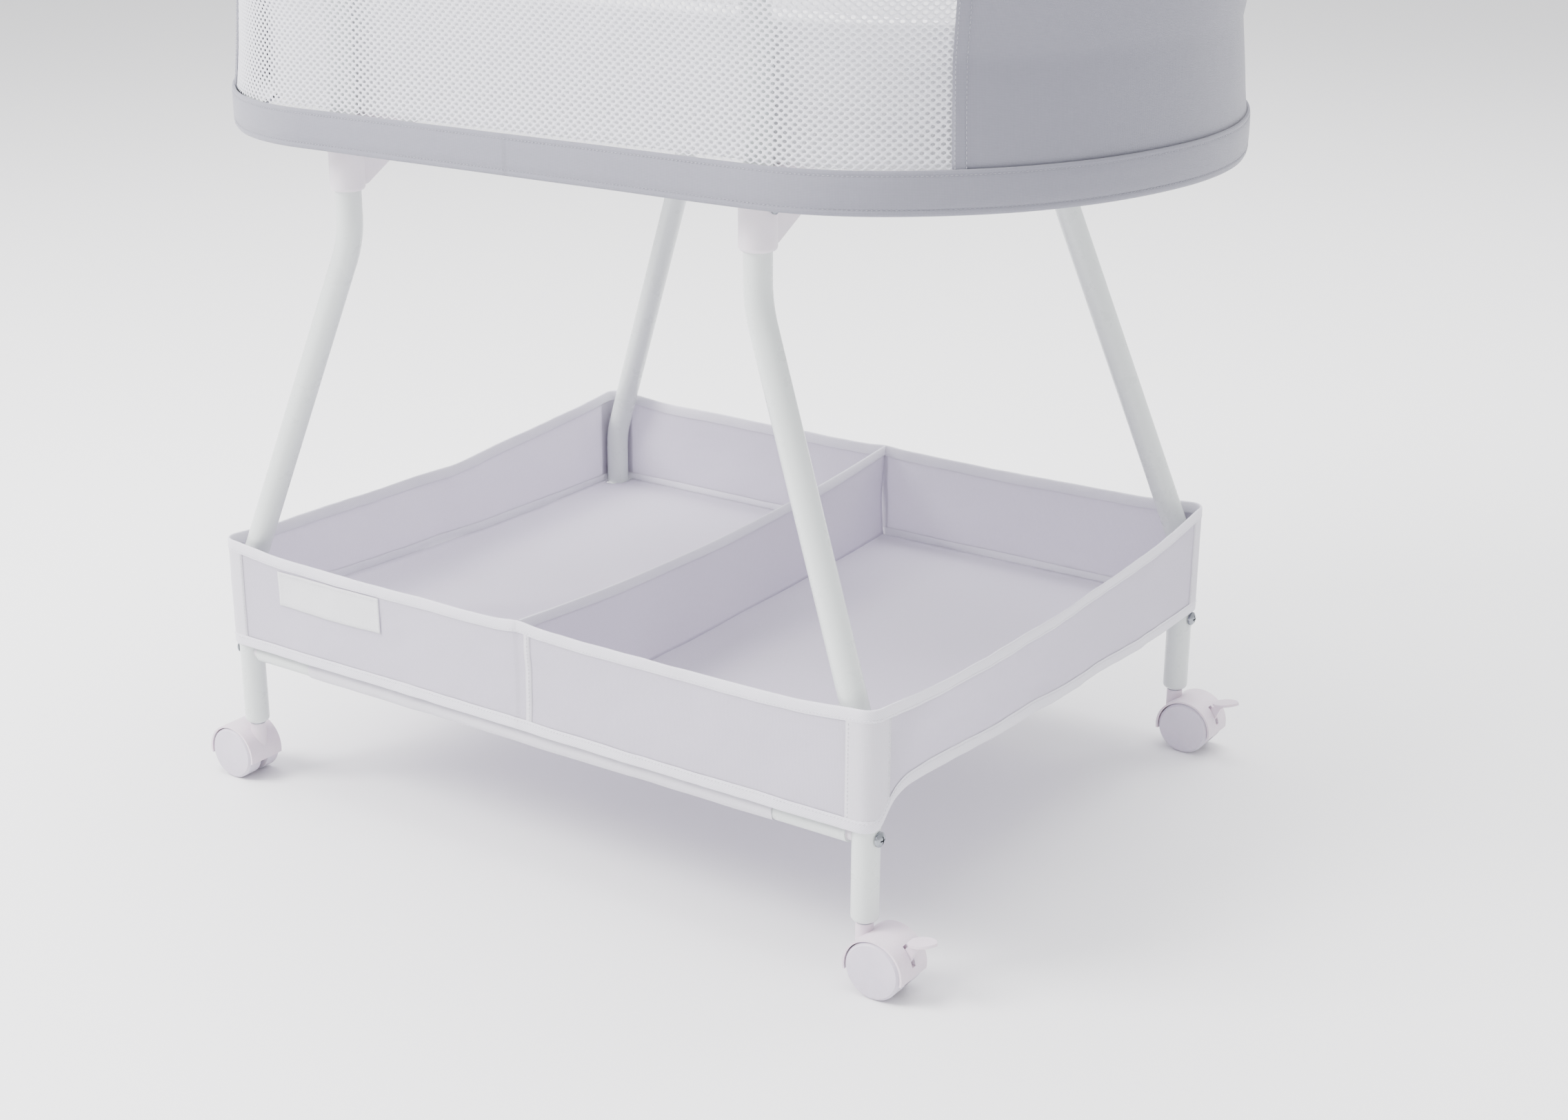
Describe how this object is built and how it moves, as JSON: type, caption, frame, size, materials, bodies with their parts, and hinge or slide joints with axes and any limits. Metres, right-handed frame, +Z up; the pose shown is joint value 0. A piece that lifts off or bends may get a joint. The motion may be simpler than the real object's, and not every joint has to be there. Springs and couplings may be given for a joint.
{
  "type": "bassinet on stand",
  "caption": "Oval mesh-sided bassinet on a white tube stand with a two-part cloth storage basket and swivel casters with brakes on one end.",
  "frame": {"origin": "on the floor under the middle of the bed", "axes": "+Z up, +X along the bed towards the end with the braked casters, +Y across it towards the rear"},
  "size_m": [0.852, 0.54, 0.8],
  "materials": {
    "white_paint": "smooth gloss powder coat",
    "white_plastic": "moulded, satin gloss",
    "wheel_plastic": "moulded, fine matte",
    "zinc_steel": "bright zinc plate",
    "grey_cloth": "plain weave polyester",
    "white_mesh": "open warp-knit mesh",
    "liner_cloth": "soft plain weave",
    "mattress_cover": "quilted knit",
    "basket_cloth": "thin translucent polyester",
    "binding_tape": "twill binding tape",
    "tag_satin": "blank woven satin",
    "fibreboard": "hardboard"
  },
  "bodies": {
    "frame": {"leg_front_left": "white_paint", "leg_front_right": "white_paint", "leg_rear_left": "white_paint", "leg_rear_right": "white_paint", "upright_front_left": "white_paint", "upright_front_right": "white_paint", "upright_rear_left": "white_paint", "upright_rear_right": "white_paint", "bracket_front_left": "white_plastic", "bracket_front_right": "white_plastic", "bracket_rear_left": "white_plastic", "bracket_rear_right": "white_plastic", "base_rails": "white_paint", "rail_end_plugs": "white_plastic", "frame_screws": "zinc_steel", "cross_bars": "white_paint", "lower_ring": "white_paint", "top_ring": "white_paint", "ring_clips": "white_plastic", "inner_liner": "liner_cloth", "liner_base": "liner_cloth", "lower_band": "grey_cloth", "mesh_front": "white_mesh", "mesh_rear": "white_mesh", "end_panel_left": "grey_cloth", "end_panel_right": "grey_cloth", "rim_band": "grey_cloth", "basket_wall_front": "basket_cloth", "basket_wall_rear": "basket_cloth", "basket_wall_left": "basket_cloth", "basket_wall_right": "basket_cloth", "basket_floor": "basket_cloth", "basket_divider": "basket_cloth", "basket_binding": "binding_tape", "basket_tag": "tag_satin", "stem_sockets": "white_plastic"},
    "mattress": {"mattress_board": "fibreboard", "mattress": "mattress_cover"},
    "caster_front_left": {"hood_front_left": "white_plastic", "stem_front_left": "zinc_steel", "axle_front_left": "zinc_steel"},
    "caster_front_right": {"hood_front_right": "white_plastic", "stem_front_right": "zinc_steel", "axle_front_right": "zinc_steel"},
    "caster_rear_left": {"hood_rear_left": "white_plastic", "stem_rear_left": "zinc_steel", "axle_rear_left": "zinc_steel"},
    "caster_rear_right": {"hood_rear_right": "white_plastic", "stem_rear_right": "zinc_steel", "axle_rear_right": "zinc_steel"},
    "wheel_front_left_outer": {"wheel_front_left_outer": "wheel_plastic"},
    "wheel_front_left_inner": {"wheel_front_left_inner": "wheel_plastic"},
    "wheel_front_right_outer": {"wheel_front_right_outer": "wheel_plastic"},
    "wheel_front_right_inner": {"wheel_front_right_inner": "wheel_plastic"},
    "wheel_rear_left_outer": {"wheel_rear_left_outer": "wheel_plastic"},
    "wheel_rear_left_inner": {"wheel_rear_left_inner": "wheel_plastic"},
    "wheel_rear_right_outer": {"wheel_rear_right_outer": "wheel_plastic"},
    "wheel_rear_right_inner": {"wheel_rear_right_inner": "wheel_plastic"},
    "brake_front_right": {"brake_front_right": "white_plastic"},
    "brake_rear_right": {"brake_rear_right": "white_plastic"}
  },
  "joints": [
    {"name": "mattress_lift", "type": "slide", "parent": "frame", "child": "mattress", "axis": [0, 0, 1], "range_m": [0, 0.3]},
    {"name": "caster_front_left_swivel", "type": "hinge", "parent": "frame", "child": "caster_front_left", "pos_m": [-0.295, -0.2465, 0.05], "axis": [0, 0, 1], "continuous": true},
    {"name": "caster_front_right_swivel", "type": "hinge", "parent": "frame", "child": "caster_front_right", "pos_m": [0.295, -0.2465, 0.05], "axis": [0, 0, 1], "continuous": true},
    {"name": "caster_rear_left_swivel", "type": "hinge", "parent": "frame", "child": "caster_rear_left", "pos_m": [-0.295, 0.2465, 0.05], "axis": [0, 0, 1], "continuous": true},
    {"name": "caster_rear_right_swivel", "type": "hinge", "parent": "frame", "child": "caster_rear_right", "pos_m": [0.295, 0.2465, 0.05], "axis": [0, 0, 1], "continuous": true},
    {"name": "wheel_front_left_outer_spin", "type": "hinge", "parent": "caster_front_left", "child": "wheel_front_left_outer", "pos_m": [-0.3115, -0.2465, 0.0215], "axis": [0, 1, 0], "continuous": true},
    {"name": "wheel_front_left_inner_spin", "type": "hinge", "parent": "caster_front_left", "child": "wheel_front_left_inner", "pos_m": [-0.3115, -0.2465, 0.0215], "axis": [0, 1, 0], "continuous": true},
    {"name": "wheel_front_right_outer_spin", "type": "hinge", "parent": "caster_front_right", "child": "wheel_front_right_outer", "pos_m": [0.3115, -0.2465, 0.0215], "axis": [0, 1, 0], "continuous": true},
    {"name": "wheel_front_right_inner_spin", "type": "hinge", "parent": "caster_front_right", "child": "wheel_front_right_inner", "pos_m": [0.3115, -0.2465, 0.0215], "axis": [0, 1, 0], "continuous": true},
    {"name": "wheel_rear_left_outer_spin", "type": "hinge", "parent": "caster_rear_left", "child": "wheel_rear_left_outer", "pos_m": [-0.3115, 0.2465, 0.0215], "axis": [0, 1, 0], "continuous": true},
    {"name": "wheel_rear_left_inner_spin", "type": "hinge", "parent": "caster_rear_left", "child": "wheel_rear_left_inner", "pos_m": [-0.3115, 0.2465, 0.0215], "axis": [0, 1, 0], "continuous": true},
    {"name": "wheel_rear_right_outer_spin", "type": "hinge", "parent": "caster_rear_right", "child": "wheel_rear_right_outer", "pos_m": [0.3115, 0.2465, 0.0215], "axis": [0, 1, 0], "continuous": true},
    {"name": "wheel_rear_right_inner_spin", "type": "hinge", "parent": "caster_rear_right", "child": "wheel_rear_right_inner", "pos_m": [0.3115, 0.2465, 0.0215], "axis": [0, 1, 0], "continuous": true},
    {"name": "brake_front_right_press", "type": "hinge", "parent": "caster_front_right", "child": "brake_front_right", "pos_m": [0.3245, -0.2465, 0.029], "axis": [0, 1, 0], "range_deg": [0, 18]},
    {"name": "brake_rear_right_press", "type": "hinge", "parent": "caster_rear_right", "child": "brake_rear_right", "pos_m": [0.3245, 0.2465, 0.029], "axis": [0, 1, 0], "range_deg": [0, 18]}
  ]
}
